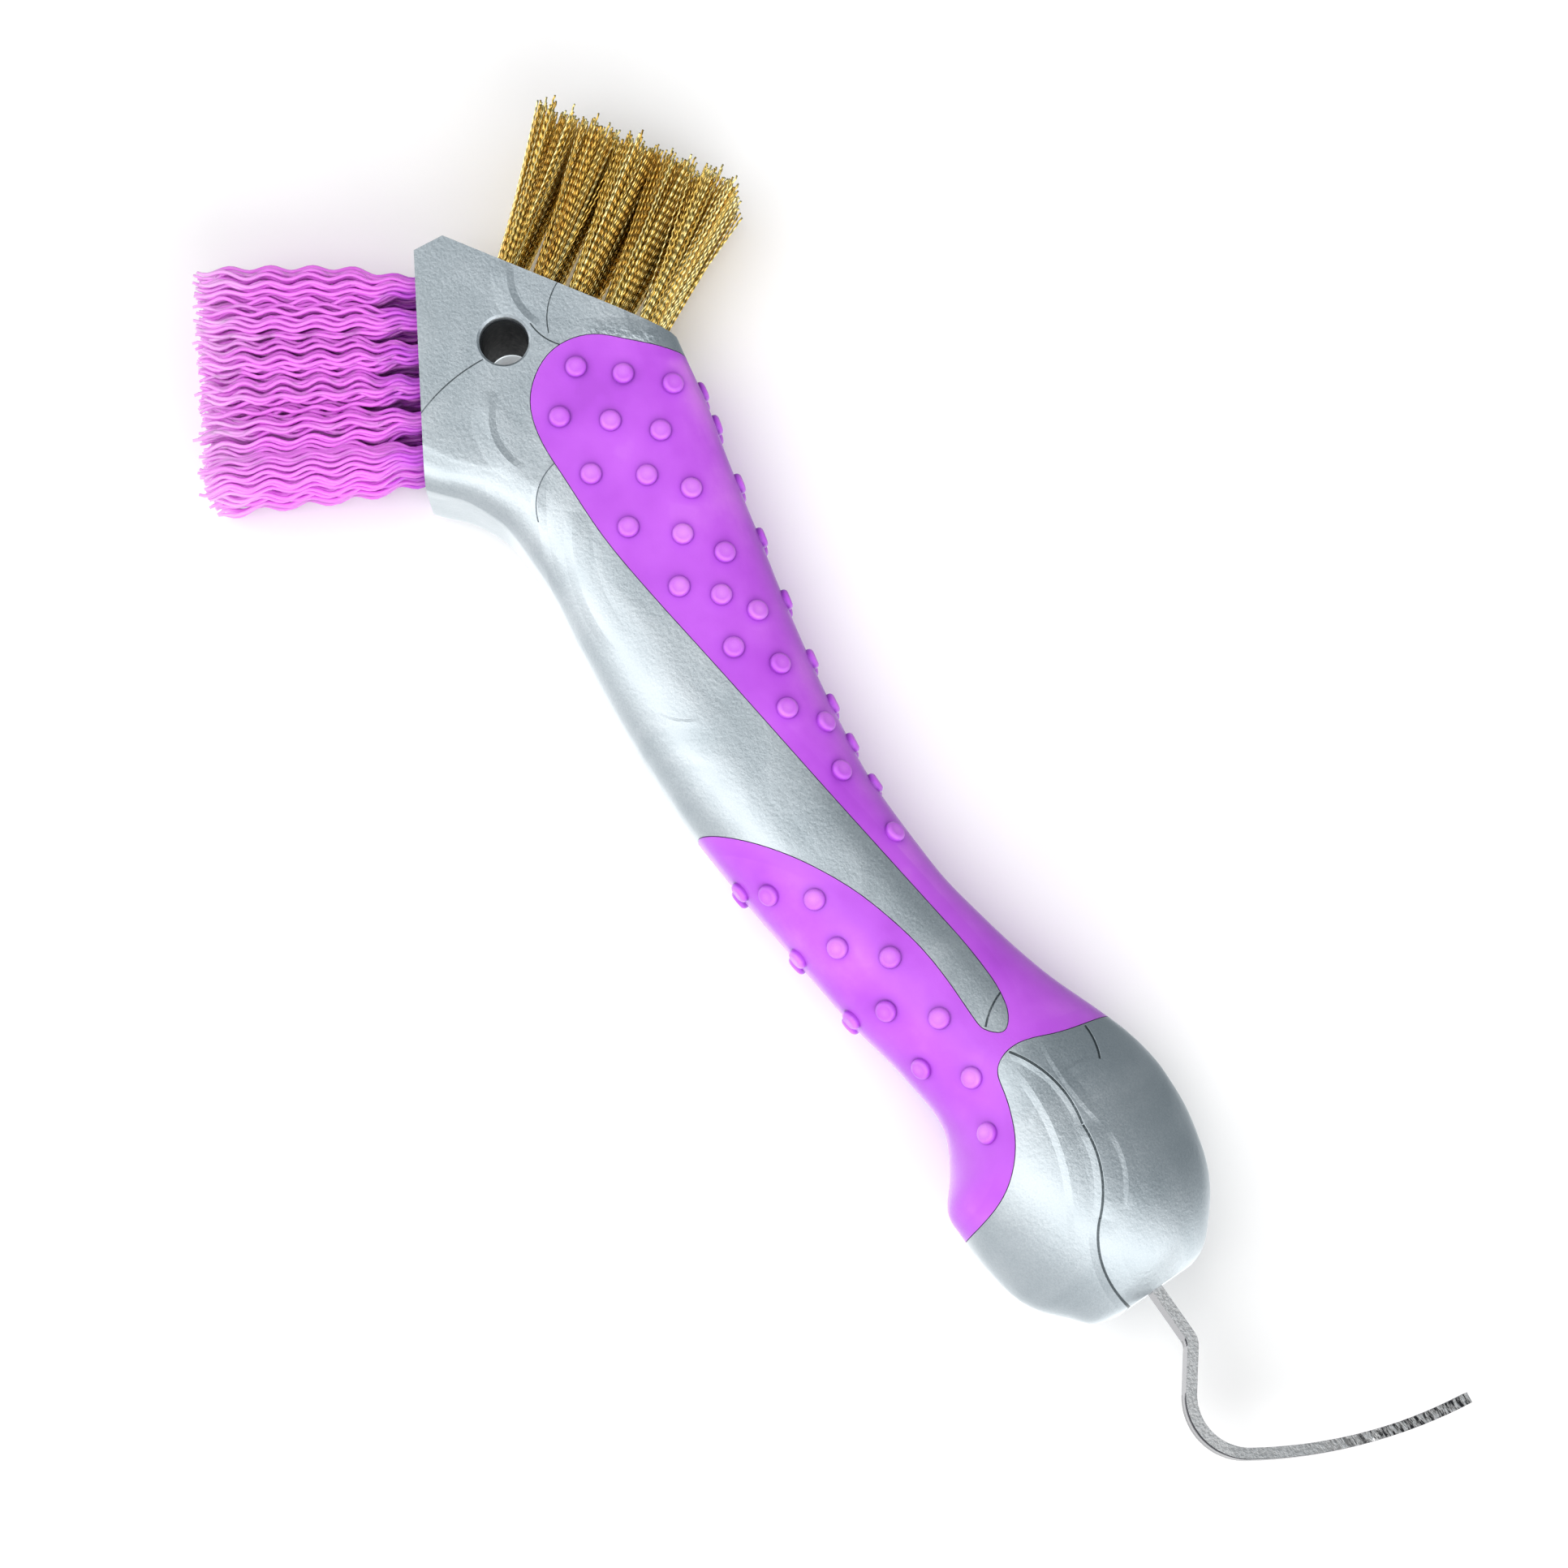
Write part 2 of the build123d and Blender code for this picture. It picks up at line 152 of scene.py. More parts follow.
WRINKLED_PATCH = ((6.3, 10.6), (9.4, 15.2), (13.4, 19.8))    # beside the grip, by the brass face
WRINKLED_WIDTH = (0.3 * MM, 2.6 * MM)   # how far from its arc it is full, and where it has gone

# ---- floor: where the tool touches it ----------------------------------------------
GRIP_LOW_X = 9.5 * MM
GRIP_LOW_Z = -11.5 * MM
BALL_LOW_X = 148.0 * MM
FLOOR_REACH = 3.0               # metres from the middle to an edge
SHADOW_LIFT = 0.12              # overexposure of the white floor, as the camera sees it

# ---- camera and light -------------------------------------------------------------
VIEW_DISTANCE = 0.650
VIEW_ELEVATION = 79.0
VIEW_ROLL = 55.47               # turn of the handle in the picture
VIEW_CENTRE = Vector((77.15, -2.62, 0.0)) * MM
LENS = 100.9
# EVEN lights matt surfaces and STUDIO is what shiny ones reflect. Both run from the side that
# faces away from the studio's glow, at 0, to the side towards it, at 1.
EVEN_STRENGTH = 0.62
EVEN = [(0.0, (0.45, 0.45, 0.46)), (0.5, (1.0, 1.0, 1.0)), (1.0, (1.55, 1.55, 1.54))]
STUDIO_STRENGTH = 2.0
STUDIO = [
    (0.10, (0.08, 0.095, 0.105)), (0.28, (0.14, 0.155, 0.165)), (0.44, (0.54, 0.555, 0.565)),
    (0.53, (0.78, 0.79, 0.795)), (0.62, (1.0, 1.0, 1.0)), (0.74, (0.62, 0.63, 0.635)),
    (0.90, (0.32, 0.33, 0.34))]
# Lamps: direction to the right, up and back of the view, then distance, size and power.
KEY_LIGHT = ((-0.4, 0.2, 1.3), 1.1, 0.8, 5.5)
FILL_LIGHT = ((0.4, -0.9, 1.1), 1.2, 0.9, 6.0)


# ---------------------------------------------------------------- materials
def new_material(name):
    """An empty node material, with its Principled shader."""
    material = bpy.data.materials.new(name)
    material.use_nodes = True
    return material, material.node_tree, material.node_tree.nodes["Principled BSDF"]


def set_inputs(node, **values):
    """Set inputs by name, with _ for a space."""
    for key, value in values.items():
        node.inputs[key.replace("_", " ")].default_value = value


def noise(tree, scale, detail=2.0, roughness=0.5, vector=None, distortion=0.0):
    """A noise value, in the object's own coordinates unless a vector is given."""
    node = tree.nodes.new("ShaderNodeTexNoise")
    set_inputs(node, Scale=scale, Detail=detail, Roughness=roughness, Distortion=distortion)
    if vector is None:
        vector = tree.nodes.new("ShaderNodeTexCoord").outputs["Object"]
    tree.links.new(vector, node.inputs["Vector"])
    return node.outputs["Fac"]


def math_node(tree, operation, a, b=None, clamp=False):
    """The result of one operation on values or numbers."""
    node = tree.nodes.new("ShaderNodeMath")
    node.operation = operation
    node.use_clamp = clamp
    for index, value in enumerate((a, b)):
        if value is None:
            continue
        if isinstance(value, (int, float)):
            node.inputs[index].default_value = value
        else:
            tree.links.new(value, node.inputs[index])
    return node.outputs[0]


def ramp(tree, factor, stops):
    """The colour at a factor between (place, colour) stops."""
    node = tree.nodes.new("ShaderNodeValToRGB")
    elements = node.color_ramp.elements
    while len(elements) < len(stops):
        elements.new(0.5)
    for element, (place, colour) in zip(elements, stops):
        element.position = place
        element.color = (*colour, 1.0)
    tree.links.new(factor, node.inputs["Fac"])
    return node.outputs["Color"]


def map_range(tree, value, low, high, to_low, to_high):
    """A value carried from one range to another, held at its ends."""
    node = tree.nodes.new("ShaderNodeMapRange")
    node.inputs["From Min"].default_value = low
    node.inputs["From Max"].default_value = high
    node.inputs["To Min"].default_value = to_low
    node.inputs["To Max"].default_value = to_high
    tree.links.new(value, node.inputs["Value"])
    return node.outputs["Result"]


def bump(tree, shader, height, strength, distance):
    """Give a shader fine relief from a height."""
    node = tree.nodes.new("ShaderNodeBump")
    node.inputs["Strength"].default_value = strength
    node.inputs["Distance"].default_value = distance
    tree.links.new(height, node.inputs["Height"])
    tree.links.new(node.outputs["Normal"], shader.inputs["Normal"])


def flat_place(tree):
    """Where a point lies along and across the tool, with its height left out."""
    where = tree.nodes.new("ShaderNodeTexCoord").outputs["Object"]
    flatten = tree.nodes.new("ShaderNodeMapping")
    flatten.inputs["Scale"].default_value = (1.0, 1.0, 0.0)
    tree.links.new(where, flatten.inputs["Vector"])
    return flatten.outputs["Vector"]


def vector_node(tree, operation, a, b=None):
    """One operation on vectors, as its node."""
    node = tree.nodes.new("ShaderNodeVectorMath")
    node.operation = operation
    for index, value in enumerate((a, b)):
        if value is None:
            continue
        if isinstance(value, Vector):
            node.inputs[index].default_value = value
        else:
            tree.links.new(value, node.inputs[index])
    return node


def circle_through(a, b, c):
    """Centre and radius of the circle through three points in plan."""
    d = 2 * (a.x * (b.y - c.y) + b.x * (c.y - a.y) + c.x * (a.y - b.y))
    aa, bb, cc = a.length_squared, b.length_squared, c.length_squared
    x = (aa * (b.y - c.y) + bb * (c.y - a.y) + cc * (a.y - b.y)) / d
    y = (aa * (c.x - b.x) + bb * (a.x - c.x) + cc * (b.x - a.x)) / d
    centre = Vector((x, y, 0.0))
    return centre, (a - centre).length


def arc_distance(tree, place, points, fade):
    """Signed distance outside an arc through three points, and 1 along it that fades at its ends."""
    a, b, c = (Vector((*point, 0.0)) * MM for point in points)
    centre, radius = circle_through(a, b, c)
    middle = (b - centre).normalized()
    edge = min((a - centre).normalized().dot(middle), (c - centre).normalized().dot(middle))
    away = vector_node(tree, "SUBTRACT", place, centre).outputs["Vector"]
    reach = vector_node(tree, "LENGTH", away).outputs["Value"]
    signed = math_node(tree, "SUBTRACT", reach, radius)
    heading = vector_node(tree, "NORMALIZE", away).outputs["Vector"]
    facing = vector_node(tree, "DOT_PRODUCT", heading, middle).outputs["Value"]
    inside = map_range(tree, facing, edge, edge + (1 - edge) * fade, 0.0, 1.0)
    return signed, inside


def weld_line(tree, place, points, width):
    """1 on a thin line along an arc, 0 away from it."""
    signed, inside = arc_distance(tree, place, points, 0.04)
    near = map_range(tree, math_node(tree, "ABSOLUTE", signed), width * MM / 2, width * MM, 1.0, 0.0)
    return math_node(tree, "MULTIPLY", near, inside)


def flow_fold(tree, place, points, reach):
    """Height of a step along an arc that dies away over its reach, outwards or, if negative, inwards."""
    signed, inside = arc_distance(tree, place, points, 0.6)
    height = FOLD_HEIGHT * abs(reach) * MM
    fall = map_range(tree, signed, 0.0, reach * MM, height, 0.0)
    rise = map_range(tree, signed, -FOLD_EDGE * reach * MM, 0.0, 0.0, height)
    return math_node(tree, "MULTIPLY", math_node(tree, "MINIMUM", fall, rise), inside)


def add_up(tree, values):
    """The sum of several values."""
    total = values[0]
    for value in values[1:]:
        total = math_node(tree, "ADD", total, value)
    return total


def weighted(tree, parts):
    """The sum of (value, weight) pairs."""
    return add_up(tree, [math_node(tree, "MULTIPLY", value, weight) for value, weight in parts])


def silver_plastic():
    """Satin silver plastic with metallic flake, weld lines, flow folds and one wrinkled patch."""
    material, tree, shader = new_material("silver_plastic")
    place = flat_place(tree)
    lines = add_up(tree, [weld_line(tree, place, *line) for line in WELD_LINES])
    folds = add_up(tree, [flow_fold(tree, place, *fold) for fold in FLOW_FOLDS])
    flow = noise(tree, 60, detail=2, distortion=1.0)
    flake = noise(tree, 3600, detail=2, roughness=0.7)
    signed, along_patch = arc_distance(tree, place, WRINKLED_PATCH, 0.5)
    across_patch = map_range(tree, math_node(tree, "ABSOLUTE", signed), *WRINKLED_WIDTH, 1.0, 0.0)
    wrinkled = math_node(tree, "MULTIPLY", along_patch, across_patch)
    mixed = weighted(tree, [(flow, 0.55), (flake, 0.45), (lines, -0.45), (wrinkled, -0.14)])
    colour = ramp(tree, mixed, [
        (0.05, (0.10, 0.12, 0.13)), (0.32, (0.50, 0.565, 0.60)),
        (0.50, (0.62, 0.68, 0.715)), (0.68, (0.74, 0.79, 0.82))])
    tree.links.new(colour, shader.inputs["Base Color"])
    rough = map_range(tree, flake, 0.3, 0.7, 0.30, 0.46)
    tree.links.new(rough, shader.inputs["Roughness"])
    set_inputs(shader, Metallic=0.86, Coat_Weight=0.12, Coat_Roughness=0.3)
    peel = noise(tree, 1700, detail=3, roughness=0.6)
    wrinkles = math_node(tree, "MULTIPLY", wrinkled, noise(tree, 900, detail=3))
    height = weighted(tree, [
        (peel, PEEL_HEIGHT), (flow, FLOW_HEIGHT), (folds, 1.0), (lines, -LINE_DEPTH),
        (wrinkles, WRINKLE_HEIGHT)])
    bump(tree, shader, height, 1.0, 1.0)
    return material


def crevice(tree, reach, inside=False):
    """1 on open surface, less where something stands within reach, or inside the solid itself."""
    node = tree.nodes.new("ShaderNodeAmbientOcclusion")
    node.inputs["Distance"].default_value = reach
    node.inside = inside
    node.only_local = inside
    return node.outputs["AO"]


def purple_rubber():
    """Soft purple rubber, with painted shade in the corners round its nubs and painted light on the
    nubs.
    """
    material, tree, shader = new_material("purple_rubber")
    cloud = map_range(tree, noise(tree, 90, detail=3), 0.3, 0.7, 0.25, 0.60)
    grain = noise(tree, 2600, detail=2)
    # painted shade: the colour deepens where the occlusion finds something near, in the corners round
    # the nubs
    painted_nub_shade = map_range(tree, crevice(tree, PAINTED_SHADE_REACH), 0.55, 0.97, -0.45, 0.0)
    # painted light: a paler colour on the nubs, where the rubber is deepest
    painted_nub_light = map_range(tree, crevice(tree, PAINTED_LIGHT_DEPTH, inside=True), 0.58, 0.76, 0.0, 0.40)
    place = add_up(tree, [cloud, painted_nub_shade, painted_nub_light])
    colour = ramp(tree, place, [
        (0.02, (0.30, 0.03, 0.50)), (0.30, (0.48, 0.075, 0.75)), (0.56, (0.56, 0.105, 0.84)),
        (0.98, (0.80, 0.30, 0.92))])
    tree.links.new(colour, shader.inputs["Base Color"])
    rough = map_range(tree, grain, 0.3, 0.7, 0.36, 0.48)
    tree.links.new(rough, shader.inputs["Roughness"])
    set_inputs(shader, Subsurface_Weight=0.12, Subsurface_Scale=0.002, Sheen_Weight=0.06,
               Coat_Weight=0.3, Coat_Roughness=0.22)
    shader.inputs["Subsurface Radius"].default_value = (1.0, 0.4, 1.0)
    bump(tree, shader, grain, 0.12, 0.0001)
    return material


def black_plastic():
    """Matt black plastic."""
    material, tree, shader = new_material("black_plastic")
    grain = noise(tree, 1500, detail=3)
    colour = ramp(tree, grain, [(0.3, (0.008, 0.009, 0.010)), (0.7, (0.022, 0.024, 0.027))])
    tree.links.new(colour, shader.inputs["Base Color"])
    rough = map_range(tree, grain, 0.3, 0.7, 0.6, 0.8)
    tree.links.new(rough, shader.inputs["Roughness"])
    set_inputs(shader, Specular_IOR_Level=0.12)
    bump(tree, shader, grain, 0.3, 0.0001)
    return material


def strand_value(tree, name):
    """A value stored on each point of the bristles."""
    node = tree.nodes.new("ShaderNodeAttribute")
    node.attribute_name = name
    return node.outputs["Fac"]


def nylon():
    """Clear purple filament, with painted shade towards its roots and painted light towards its tips,
    where the cut end lets light in.
    """
    material, tree, shader = new_material("nylon_filament")
    along = strand_value(tree, "along")
    tint = strand_value(tree, "tint")
    place = weighted(tree, [(along, 1.0), (math_node(tree, "SUBTRACT", tint, 0.5), 0.22)])
    # painted shade at the roots, where the tufts stand close, and painted light towards the cut tips
    colour = ramp(tree, place, [
        (0.0, (0.60, 0.09, 0.80)), (0.22, (0.97, 0.22, 1.0)),
        (0.75, (0.98, 0.25, 1.0)), (1.0, (1.0, 0.44, 1.0))])
    tree.links.new(colour, shader.inputs["Base Color"])
    set_inputs(shader, Roughness=0.28, Subsurface_Weight=0.45, Subsurface_Scale=0.0018, Coat_Weight=0.3)
    shader.inputs["Subsurface Radius"].default_value = (1.0, 0.35, 1.0)
    streak = noise(tree, 1800, detail=2)
    bump(tree, shader, streak, 0.1, 0.00005)
    return material


def brass():
    """Bright drawn brass wire, whose colour differs a little from wire to wire."""
    material, tree, shader = new_material("brass_wire")
    tint = strand_value(tree, "tint")
    stain = noise(tree, 420, detail=3)
    place = weighted(tree, [(tint, 0.6), (stain, 0.4)])
    colour = ramp(tree, place, [
        (0.15, (0.62, 0.36, 0.07)), (0.5, (0.98, 0.70, 0.19)), (0.85, (1.0, 0.92, 0.48))])
    tree.links.new(colour, shader.inputs["Base Color"])
    set_inputs(shader, Metallic=1.0)
    rough = map_range(tree, stain, 0.3, 0.7, 0.09, 0.22)
    tree.links.new(rough, shader.inputs["Roughness"])
    return material


def plated_steel():
    """Plated steel, mottled on its sheared faces, with dark cuts towards the tip, painted shade along
    its rounded edges and painted shade on its upright faces.
    """
    material, tree, shader = new_material("plated_steel")
    where = tree.nodes.new("ShaderNodeTexCoord").outputs["Object"]
    stretch = tree.nodes.new("ShaderNodeMapping")
    stretch.inputs["Scale"].default_value = (0.22, 1.0, 0.3)
    tree.links.new(where, stretch.inputs["Vector"])
    cuts = noise(tree, 2600, detail=3, roughness=0.7, vector=stretch.outputs["Vector"])
    mottle = noise(tree, 2100, detail=3, roughness=0.6)
    split = tree.nodes.new("ShaderNodeSeparateXYZ")
    tree.links.new(where, split.inputs["Vector"])
    near_tip = map_range(tree, split.outputs["Y"], *PICK_CUTS, 0.0, 1.0)
    normal = tree.nodes.new("ShaderNodeNewGeometry").outputs["Normal"]
    facing = tree.nodes.new("ShaderNodeSeparateXYZ")
    tree.links.new(normal, facing.inputs["Vector"])
    level = math_node(tree, "ABSOLUTE", facing.outputs["Z"])
    sheared = map_range(tree, level, 0.6, 0.8, 0.0, 1.0)
    worn = map_range(tree, mottle, 0.36, 0.60, 0.85, 0.0)
    cut = map_range(tree, cuts, 0.42, 0.58, 1.0, 0.0)
    rough_part = math_node(tree, "ADD", math_node(tree, "MULTIPLY", worn, 0.30),
                           math_node(tree, "MULTIPLY", cut, near_tip), clamp=True)
    marks = math_node(tree, "MULTIPLY", rough_part, sheared)
    edge = math_node(tree, "COMPARE", level, 0.5)
    edge.node.inputs[2].default_value = ROUNDED_BAND
    # painted shade: the upright faces get a darker colour than the sheared ones, which dims their
    # reflection
    faces = ramp(tree, sheared, [(0.0, (0.44, 0.44, 0.45)), (1.0, (0.68, 0.68, 0.68))])
    wear = ramp(tree, marks, [
        (0.0, (1.0, 1.0, 1.0)), (0.40, (0.60, 0.59, 0.58)), (1.0, (0.05, 0.05, 0.055))])
    # painted shade: a dark colour along the rounded edges
    painted_edge_shade = ramp(tree, edge, [(0.0, (1.0, 1.0, 1.0)), (1.0, (0.16, 0.16, 0.17))])
    wear_and_face_shade = vector_node(tree, "MULTIPLY", faces, wear).outputs["Vector"]
    colour = vector_node(tree, "MULTIPLY", wear_and_face_shade, painted_edge_shade).outputs["Vector"]
    tree.links.new(colour, shader.inputs["Base Color"])
    set_inputs(shader, Metallic=1.0, Specular_Tint=(0.42, 0.42, 0.43, 1.0))
    rough = map_range(tree, marks, 0.0, 1.0, 0.22, 0.45)
    tree.links.new(rough, shader.inputs["Roughness"])
    height = math_node(tree, "MULTIPLY", marks, -0.05 * MM)
    bump(tree, shader, height, 1.0, 1.0)
    return material


def wire_steel():
    """Dull drawn steel wire."""
    material, tree, shader = new_material("staple_steel")
    grain = noise(tree, 3000, detail=2)
    colour = ramp(tree, grain, [(0.3, (0.42, 0.42, 0.43)), (0.7, (0.62, 0.62, 0.62))])
    tree.links.new(colour, shader.inputs["Base Color"])
    set_inputs(shader, Metallic=1.0, Roughness=0.35)
    return material


def give(obj, material):
    """Make this the only material of an object."""
    obj.data.materials.clear()
    obj.data.materials.append(material)


# ---------------------------------------------------------------- bristles
def face_directions(angle, side):
    """Unit vectors along a brush face and out of it."""
    turn = math.radians(angle)
    along = np.array((math.cos(turn), math.sin(turn), 0.0))
    out = side * np.array((-along[1], along[0], 0.0))
    return along, out


def tuft_root(node, along, out, depth):
    """Centre of a tuft where it leaves the head, and its free length."""
    points = np.empty(len(NODES[node].data.vertices) * 3)
    NODES[node].data.vertices.foreach_get("co", points)
    points = points.reshape(-1, 3)
    up = np.array((0.0, 0.0, 1.0))
    centre = np.zeros(3)
    for axis in (along, up):
        reach = points @ axis
        centre += axis * (reach.min() + reach.max()) / 2
    reach = points @ out
    return centre + out * (reach.min() + depth), reach.max() - reach.min() - depth


def tube_mesh(name, paths, radii, sides, along, tint):
    """One mesh of round tubes: paths is (tubes, steps, 3), radii is (tubes, steps)."""
    tubes, steps, _ = paths.shape
    ahead = np.gradient(paths, axis=1)
    ahead /= np.linalg.norm(ahead, axis=2, keepdims=True)
    side = np.cross(ahead, (0.0, 0.0, 1.0))
    side /= np.linalg.norm(side, axis=2, keepdims=True)
    up = np.cross(side, ahead)
    turn = np.arange(sides) * 2 * math.pi / sides
    ring = (side[:, :, None] * np.cos(turn)[:, None] + up[:, :, None] * np.sin(turn)[:, None])
    verts = paths[:, :, None] + ring * radii[:, :, None, None]
    index = np.arange(tubes * steps * sides).reshape(tubes, steps, sides)
    here, there = index[:, :-1], index[:, 1:]
    quads = np.stack([here, np.roll(here, -1, 2), np.roll(there, -1, 2), there], axis=-1).reshape(-1, 4)
    caps = np.concatenate([index[:, 0, ::-1], index[:, -1]])
    faces = [*quads.tolist(), *caps.tolist()]
    mesh = bpy.data.meshes.new(name)
    mesh.from_pydata(verts.reshape(-1, 3).tolist(), [], faces)
    mesh.polygons.foreach_set("use_smooth", np.arange(len(faces)) < len(quads))
    for label, values in (("along", along), ("tint", tint)):
        layer = mesh.attributes.new(label, "FLOAT", "POINT")
        layer.data.foreach_set("value", np.repeat(values, sides).astype(np.float32))
    mesh.update()
    piece = bpy.data.objects.new(name, mesh)
    bpy.context.scene.collection.objects.link(piece)
    return piece


def disc_points(count, radius):
    """Evenly packed points in a round hole, as pairs."""
    order = np.arange(count)
    reach = radius * np.sqrt((order + 0.5) / count)
    turn = order * math.pi * (3 - math.sqrt(5))
    return reach * np.cos(turn), reach * np.sin(turn)


def smooth(t):
    """0 to 1 with a soft start and end."""
    t = np.clip(t, 0, 1)
    return t * t * (3 - 2 * t)


def nylon_tuft(node, row, column, rng, material):
    """Crimped filaments that spread to fill the space between the tufts."""
    along, out = face_directions(NYLON_FACE_ANGLE, -1)
    up = np.array((0.0, 0.0, 1.0))
    root, length = tuft_root(node, along, out, NYLON_DEPTH)
    a, b = disc_points(FILAMENTS, TUFT_R - FILAMENT_R)
    ends = length * (1 + rng.normal(0, FILAMENT_LENGTH_VARIES, FILAMENTS))
    share = np.linspace(0, 1, FILAMENT_STEPS)
    reach = -ROOT_START + share[None] * (ends[:, None] + ROOT_START)
    flare = smooth(reach / (NYLON_FLARE * length))
    fan = np.clip(reach / length, 0, 1)
    edge_a = (column - (NYLON_COLUMNS - 1) / 2) / ((NYLON_COLUMNS - 1) / 2)
    edge_b = row - 1
    stray = rng.uniform(0, 1, FILAMENTS) < STRAY_FILAMENTS
    loose = np.where(stray, STRAY_SPREAD, FILAMENT_SPREAD)
    spread_a = a * NYLON_WIDENS[0] + rng.normal(0, 1, FILAMENTS) * loose
    spread_b = b * NYLON_WIDENS[1] + rng.normal(0, 1, FILAMENTS) * loose
    a = a * ROOT_PINCH
    fray = np.clip((share[None] - FRAY_START) / (1 - FRAY_START), 0, 1) ** 1.6
    fray_a = rng.normal(0, FRAY_SPREAD, FILAMENTS)
    fray_b = rng.normal(0, FRAY_SPREAD, FILAMENTS)
    by_tuft, by_filament = FILAMENT_PHASE_VARIES
    phase = FILAMENT_PHASE + rng.normal(0, by_tuft) + rng.normal(0, by_filament, FILAMENTS)
    stretch = 1 + rng.normal(0, FILAMENT_WAVE_VARIES)
    swing = FILAMENT_SWING * rng.uniform(*FILAMENT_SWING_RANGE, FILAMENTS)
    lean = rng.normal(0, FILAMENT_LEAN_VARIES, FILAMENTS)
    wave = swing[:, None] * np.sin(2 * math.pi * reach / (FILAMENT_WAVE * stretch) + phase[:, None])
    wave *= smooth((reach - FILAMENT_WAVE_START) / FILAMENT_WAVE_FULL)
    place_a = (a[:, None] + spread_a[:, None] * flare + edge_a * NYLON_FAN * fan
               + fray_a[:, None] * fray + wave * np.cos(lean)[:, None])
    place_b = (b[:, None] + spread_b[:, None] * flare + edge_b * NYLON_FAN * NYLON_ROW_FAN * fan
               + fray_b[:, None] * fray + wave * np.sin(lean)[:, None])
    paths = root + place_a[..., None] * along + place_b[..., None] * up + reach[..., None] * out
    taper = np.clip((share - TIP_TAPER_START) / (1 - TIP_TAPER_START), 0, 1)
    radii = FILAMENT_R * (1 - TIP_TAPER * taper)
    radii = np.tile(radii, (FILAMENTS, 1))
    tint = np.repeat(rng.uniform(0, 1, FILAMENTS), FILAMENT_STEPS)
    piece = tube_mesh(f"nylon_filaments_{row + 1}_{column + 1}", paths, radii, FILAMENT_SIDES,
                      np.tile(share, FILAMENTS), tint)
    give(piece, material)
    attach(piece, "root")
    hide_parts(node)


def brass_tuft(node, row, column, rng, material):
    """Crimped wires in the two halves of a folded bundle, with ragged ends."""
    along, out = face_directions(BRASS_FACE_ANGLE, 1)
    up = np.array((0.0, 0.0, 1.0))
    root, length = tuft_root(node, along, out, BRASS_DEPTH)
    a, b = disc_points(WIRES, TUFT_R - WIRE_R)
    half = np.where(a > 0, 1, -1)
    a = a * WIRE_PINCH + half * WIRE_SPLIT
    ends = length * (WIRE_OVERHANG + rng.normal(0, WIRE_LENGTH_VARIES, WIRES))
    share = np.linspace(0, 1, WIRE_STEPS)
    reach = -ROOT_START + share[None] * (ends[:, None] + ROOT_START)
    grow = np.clip(reach / length, 0, None) ** BRASS_CURVE
    lean_a = BRASS_LEAN[0] + (BRASS_LEAN[1] - BRASS_LEAN[0]) * column / (BRASS_COLUMNS - 1)
    loose = np.where(rng.uniform(0, 1, WIRES) < LOOSE_WIRES, LOOSE_SPREAD, WIRE_SPREAD)
    spread_a = a * BRASS_WIDENS[0] + lean_a + rng.normal(0, 1, WIRES) * loose
    spread_b = b * BRASS_WIDENS[1] + (row - 1) * BRASS_ROW_LEAN + rng.normal(0, 1, WIRES) * loose
    phase = (rng.uniform(0, 2 * math.pi) + half * WIRE_PHASE_SHIFT
             + WIRE_PHASE_VARIES * rng.normal(0, 1, WIRES))
    swing = WIRE_SWING * rng.uniform(*WIRE_SWING_RANGE, WIRES)
    lean = WIRE_LEAN[0] + rng.normal(0, WIRE_LEAN[1], WIRES)
    wave = swing[:, None] * np.sin(2 * math.pi * reach / WIRE_WAVE + phase[:, None])
    place_a = a[:, None] + spread_a[:, None] * grow + wave * np.cos(lean)[:, None]
    place_b = b[:, None] + spread_b[:, None] * grow + wave * np.sin(lean)[:, None]
    paths = root + place_a[..., None] * along + place_b[..., None] * up + reach[..., None] * out
    radii = np.full(paths.shape[:2], WIRE_R)
    tint = np.repeat(rng.uniform(0, 1, WIRES), WIRE_STEPS)
    piece = tube_mesh(f"brass_wires_{row + 1}_{column + 1}", paths, radii, WIRE_SIDES,
                      np.tile(share, WIRES), tint)
    give(piece, material)
    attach(piece, "root")
    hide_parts(node)


def build_bristles():
    """Every tuft of both brushes, from one seed."""
    rng = np.random.default_rng(BRISTLE_SEED)
    filament, wire = nylon(), brass()
    for row in range(ROWS):
        for column in range(NYLON_COLUMNS):
            nylon_tuft(f"nylon_tuft_{row + 1}_{column + 1}", row, column, rng, filament)
        for column in range(BRASS_COLUMNS):
            brass_tuft(f"brass_tuft_{row + 1}_{column + 1}", row, column, rng, wire)


# ---------------------------------------------------------------- stage
def view_axes():
    """Right, up and back of the camera, in the frame of the part."""
    turn = math.radians(VIEW_ROLL)
    right = Vector((math.cos(turn), math.sin(turn), 0.0))
    level_up = Vector((-math.sin(turn), math.cos(turn), 0.0))
    tilt = math.radians(VIEW_ELEVATION)
    back = Vector((0, 0, 1)) * math.sin(tilt) - level_up * math.cos(tilt)
    return right, back.cross(right), back


def add_camera():
    """The camera, looking nearly straight down at the middle of the tool."""
    right, up, back = view_axes()
    data = bpy.data.cameras.new("camera")
    data.lens = LENS
    data.sensor_width = 36.0
    data.clip_start = 0.01
    camera = bpy.data.objects.new("camera", data)
    place = VIEW_CENTRE + back * VIEW_DISTANCE
    camera.matrix_world = Matrix.Translation(place) @ Matrix((right, up, back)).transposed().to_4x4()
    bpy.context.scene.collection.objects.link(camera)
    bpy.context.scene.camera = camera


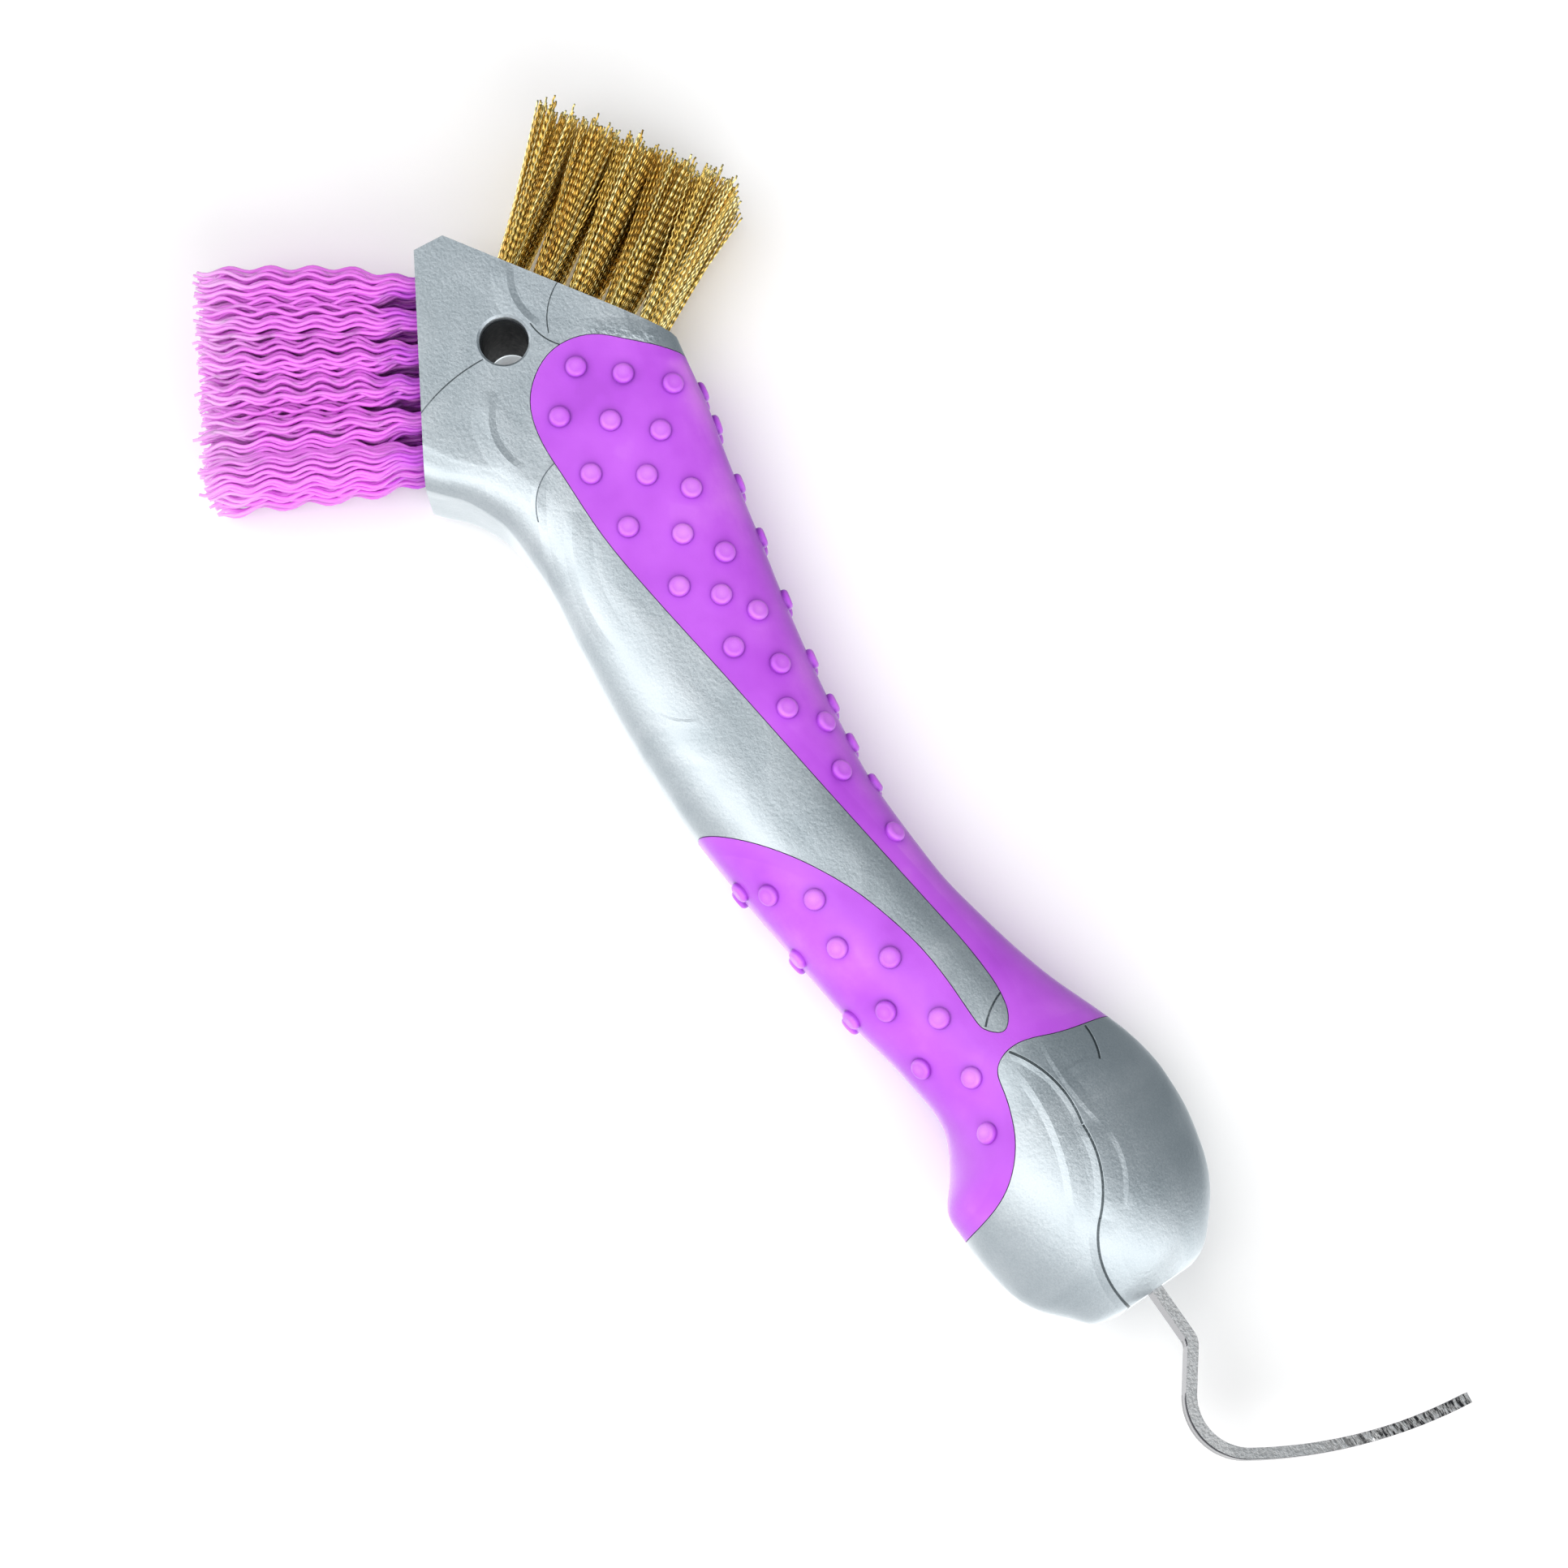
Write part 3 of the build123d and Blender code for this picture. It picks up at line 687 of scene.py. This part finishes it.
def add_area(name, direction, distance, size, power):
    """A soft square light that looks at the middle of the tool."""
    right, up, back = view_axes()
    away = (right * direction[0] + up * direction[1] + back * direction[2]).normalized()
    data = bpy.data.lights.new(name, "AREA")
    data.size = size
    data.energy = power
    lamp = bpy.data.objects.new(name, data)
    lamp.location = VIEW_CENTRE + away * distance
    lamp.rotation_euler = away.to_track_quat("Z", "Y").to_euler()
    lamp.visible_glossy = False     # the studio, not the lamps, is what the plastic reflects
    bpy.context.scene.collection.objects.link(lamp)


def add_floor():
    """A pale floor that touches the ball end and the head's grip, as the tool lies."""
    ball_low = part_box("handle_shell")[0]
    rise = (ball_low.z - GRIP_LOW_Z) / (BALL_LOW_X - GRIP_LOW_X)
    middle = Vector((BALL_LOW_X, 0.0, ball_low.z))
    along = Vector((1.0, 0.0, rise)).normalized()
    corners = [middle + along * x + Vector((0, y, 0)) for x, y in
               ((-FLOOR_REACH, -FLOOR_REACH), (FLOOR_REACH, -FLOOR_REACH),
                (FLOOR_REACH, FLOOR_REACH), (-FLOOR_REACH, FLOOR_REACH))]
    mesh = bpy.data.meshes.new("floor")
    mesh.from_pydata([tuple(c) for c in corners], [], [(0, 1, 2, 3)])
    floor = bpy.data.objects.new("floor", mesh)
    bpy.context.scene.collection.objects.link(floor)
    material, tree, shader = new_material("floor")
    speck = noise(tree, 40, detail=3)
    colour = ramp(tree, speck, [(0.3, (0.885, 0.885, 0.885)), (0.7, (0.905, 0.905, 0.905))])
    tree.links.new(colour, shader.inputs["Base Color"])
    set_inputs(shader, Roughness=0.8)
    shader.inputs["Emission Color"].default_value = (1.0, 1.0, 1.0, 1.0)
    seen = tree.nodes.new("ShaderNodeLightPath").outputs["Is Camera Ray"]
    lift = math_node(tree, "MULTIPLY", seen, SHADOW_LIFT)
    tree.links.new(lift, shader.inputs["Emission Strength"])
    give(floor, material)
    floor.visible_glossy = False    # shiny surfaces reflect the studio in place of the floor


def add_world():
    """An even light for matt surfaces, and a studio that only shiny ones reflect."""
    world = bpy.data.worlds.new("studio")
    world.use_nodes = True
    tree = world.node_tree
    right, up, _ = view_axes()
    glow_from = (right * -0.5 - up * 0.87).normalized()
    heading = tree.nodes.new("ShaderNodeTexCoord").outputs["Generated"]
    facing = vector_node(tree, "DOT_PRODUCT", heading, glow_from).outputs["Value"]
    share = map_range(tree, facing, -1.0, 1.0, 0.0, 1.0)
    dim = ramp(tree, share, STUDIO)
    reflected = tree.nodes["Background"]
    tree.links.new(dim, reflected.inputs["Color"])
    reflected.inputs["Strength"].default_value = STUDIO_STRENGTH
    even = tree.nodes.new("ShaderNodeBackground")
    tree.links.new(ramp(tree, share, EVEN), even.inputs["Color"])
    even.inputs["Strength"].default_value = EVEN_STRENGTH
    mix = tree.nodes.new("ShaderNodeMixShader")
    tree.links.new(tree.nodes.new("ShaderNodeLightPath").outputs["Is Glossy Ray"], mix.inputs["Fac"])
    tree.links.new(even.outputs["Background"], mix.inputs[1])
    tree.links.new(reflected.outputs["Background"], mix.inputs[2])
    tree.links.new(mix.outputs["Shader"], tree.nodes["World Output"].inputs["Surface"])
    bpy.context.scene.world = world


def add_light():
    """The studio and its two soft lamps."""
    add_world()
    add_area("key", *KEY_LIGHT)
    add_area("fill", *FILL_LIGHT)


def dress_cad_nodes():
    """Materials for the CAD pieces that stay, and rounded edges on the pick."""
    finishes = {
        "handle_shell": silver_plastic(),
        "grip_sleeve": purple_rubber(),
        "handle_core": black_plastic(),
        "hook_pick": plated_steel(),
    }
    staple = wire_steel()
    finishes["nylon_staples"] = staple
    finishes["brass_staples"] = staple
    for node, material in finishes.items():
        give(NODES[node], material)
    joined = NODES["hook_pick"].modifiers.new("joined_faces", "WELD")
    joined.merge_threshold = PICK_JOIN
    bevel = NODES["hook_pick"].modifiers.new("broken_edges", "BEVEL")
    bevel.width = PICK_EDGE
    bevel.segments = 2
    bevel.harden_normals = True
    bevel.limit_method = "ANGLE"
    bevel.angle_limit = math.radians(PICK_EDGE_ANGLE)


dress_cad_nodes()
build_bristles()
add_camera()
add_floor()
add_light()
bpy.context.scene.view_settings.view_transform = "Standard"
